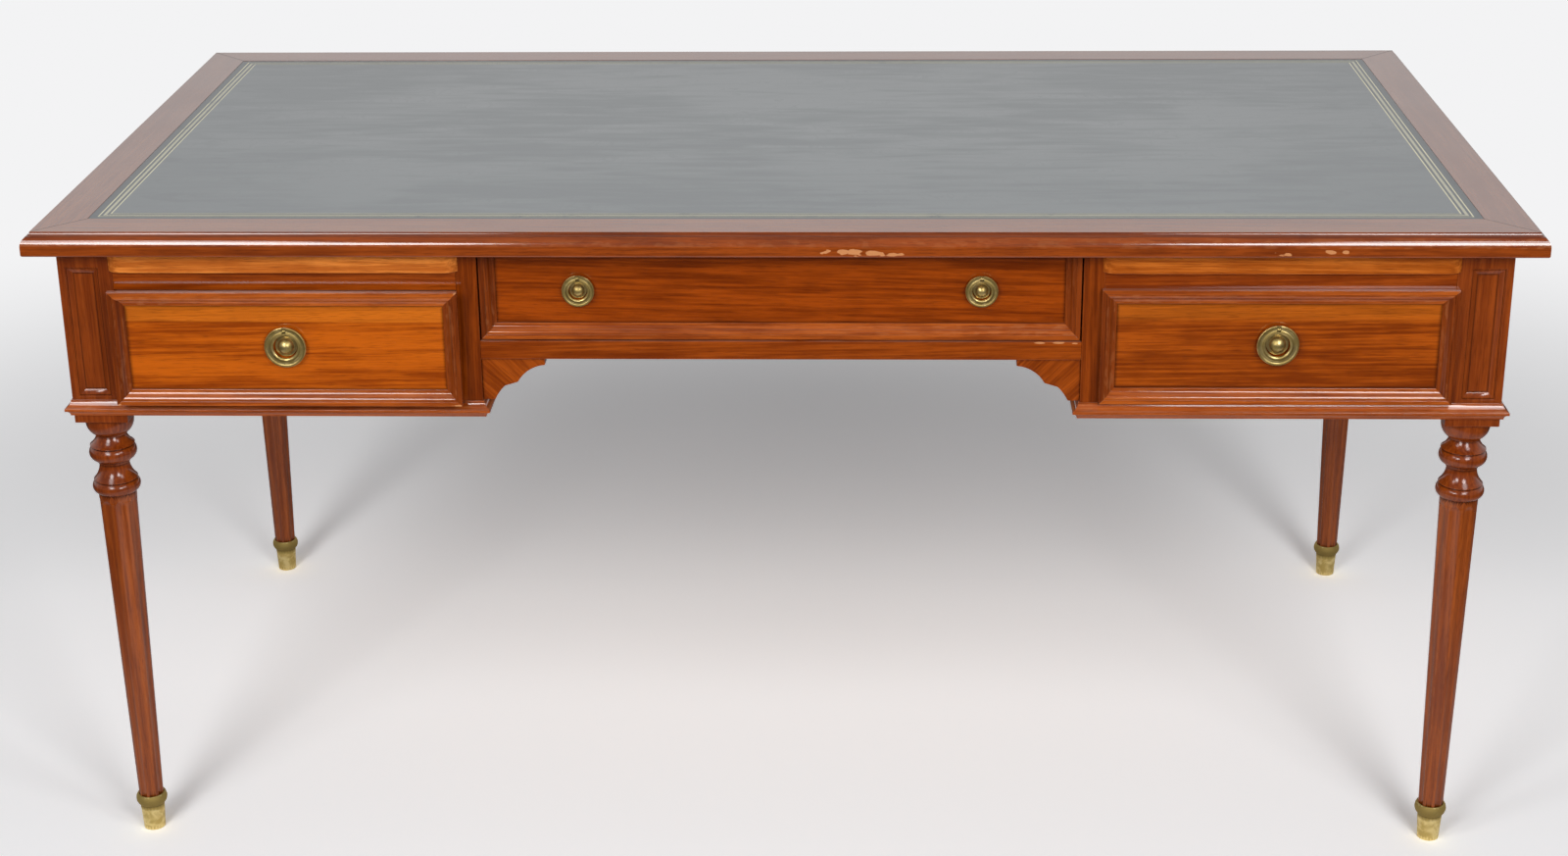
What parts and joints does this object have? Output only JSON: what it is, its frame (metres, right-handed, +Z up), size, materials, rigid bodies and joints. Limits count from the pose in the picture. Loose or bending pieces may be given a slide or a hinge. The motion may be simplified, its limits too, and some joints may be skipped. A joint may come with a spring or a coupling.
{
  "type": "writing desk",
  "caption": "Flat-topped writing desk with a leather inset, drawers either side of the kneehole and above it, pull-out slides, ring pulls and fluted turned legs with brass feet.",
  "frame": {"origin": "on the floor under the middle of the top", "axes": "+X along the desk to the sitter's right, +Y from the sitter to the back, +Z up"},
  "size_m": [1.64, 0.87, 0.76],
  "materials": {
    "mahogany": "French-polished mahogany, glossy, with light wear on the edges",
    "oak": "bare oak linings and runners, waxed",
    "leather": "dark grey-green hide with gilt border lines, semi-gloss",
    "brass": "cast and turned brass, aged, polished on the high places"
  },
  "bodies": {
    "carcass": {"top_border_front": "mahogany", "top_border_back": "mahogany", "top_border_left": "mahogany", "top_border_right": "mahogany", "top_core": "mahogany", "top_leather": "leather", "top_blocks": "oak", "leg_front_left": "mahogany", "leg_front_right": "mahogany", "leg_back_left": "mahogany", "leg_back_right": "mahogany", "sabots": "brass", "side_panel_left": "mahogany", "side_panel_right": "mahogany", "kneehole_panel_left": "mahogany", "kneehole_panel_right": "mahogany", "front_stile_left": "mahogany", "front_stile_right": "mahogany", "back_stiles": "mahogany", "front_rails_upper": "mahogany", "front_rails_lower": "mahogany", "kneehole_rail_front": "mahogany", "kneehole_rail_back": "mahogany", "brackets": "mahogany", "back_panel_left": "mahogany", "back_panel_centre": "mahogany", "back_panel_right": "mahogany", "panel_mouldings": "mahogany", "plinth_moulding_left": "mahogany", "plinth_moulding_right": "mahogany", "pedestal_floors": "oak", "drawer_guides": "oak", "slide_bearers": "oak", "centre_runners": "oak"},
    "drawer_left": {"drawer_left_front": "mahogany", "drawer_left_moulding": "mahogany", "drawer_left_box": "oak", "drawer_left_bottom": "oak", "drawer_left_pull_plate": "brass", "drawer_left_pull_button": "brass"},
    "drawer_right": {"drawer_right_front": "mahogany", "drawer_right_moulding": "mahogany", "drawer_right_box": "oak", "drawer_right_bottom": "oak", "drawer_right_pull_plate": "brass", "drawer_right_pull_button": "brass"},
    "drawer_centre": {"drawer_centre_front": "mahogany", "drawer_centre_moulding": "mahogany", "drawer_centre_box": "oak", "drawer_centre_bottom": "oak", "drawer_centre_pull_plate": "brass", "drawer_centre_pull_button": "brass"},
    "slide_left": {"slide_left_board": "mahogany", "slide_left_lip": "mahogany"},
    "slide_right": {"slide_right_board": "mahogany", "slide_right_lip": "mahogany"},
    "ring_left": {"drawer_left_ring": "brass"},
    "ring_right": {"drawer_right_ring": "brass"},
    "ring_centre_left": {"drawer_centre_ring_left": "brass"},
    "ring_centre_right": {"drawer_centre_ring_right": "brass"}
  },
  "joints": [
    {"name": "drawer_left_slide", "type": "slide", "parent": "carcass", "child": "drawer_left", "axis": [0, -1, 0], "range_m": [-0.012, 0.408]},
    {"name": "drawer_right_slide", "type": "slide", "parent": "carcass", "child": "drawer_right", "axis": [0, -1, 0], "range_m": [0, 0.42]},
    {"name": "drawer_centre_slide", "type": "slide", "parent": "carcass", "child": "drawer_centre", "axis": [0, -1, 0], "range_m": [0, 0.38]},
    {"name": "slide_left_slide", "type": "slide", "parent": "carcass", "child": "slide_left", "axis": [0, -1, 0], "range_m": [0, 0.32]},
    {"name": "slide_right_slide", "type": "slide", "parent": "carcass", "child": "slide_right", "axis": [0, -1, 0], "range_m": [0, 0.32]},
    {"name": "ring_left_hinge", "type": "hinge", "parent": "drawer_left", "child": "ring_left", "pos_m": [-0.54225, -0.4241, 0.64615], "axis": [-1, 0, 0], "range_deg": [0, 85]},
    {"name": "ring_right_hinge", "type": "hinge", "parent": "drawer_right", "child": "ring_right", "pos_m": [0.54225, -0.4121, 0.64615], "axis": [-1, 0, 0], "range_deg": [0, 85]},
    {"name": "ring_centre_left_hinge", "type": "hinge", "parent": "drawer_centre", "child": "ring_centre_left", "pos_m": [-0.2205, -0.3997, 0.6993], "axis": [-1, 0, 0], "range_deg": [0, 85]},
    {"name": "ring_centre_right_hinge", "type": "hinge", "parent": "drawer_centre", "child": "ring_centre_right", "pos_m": [0.2205, -0.3997, 0.6993], "axis": [-1, 0, 0], "range_deg": [0, 85]}
  ]
}
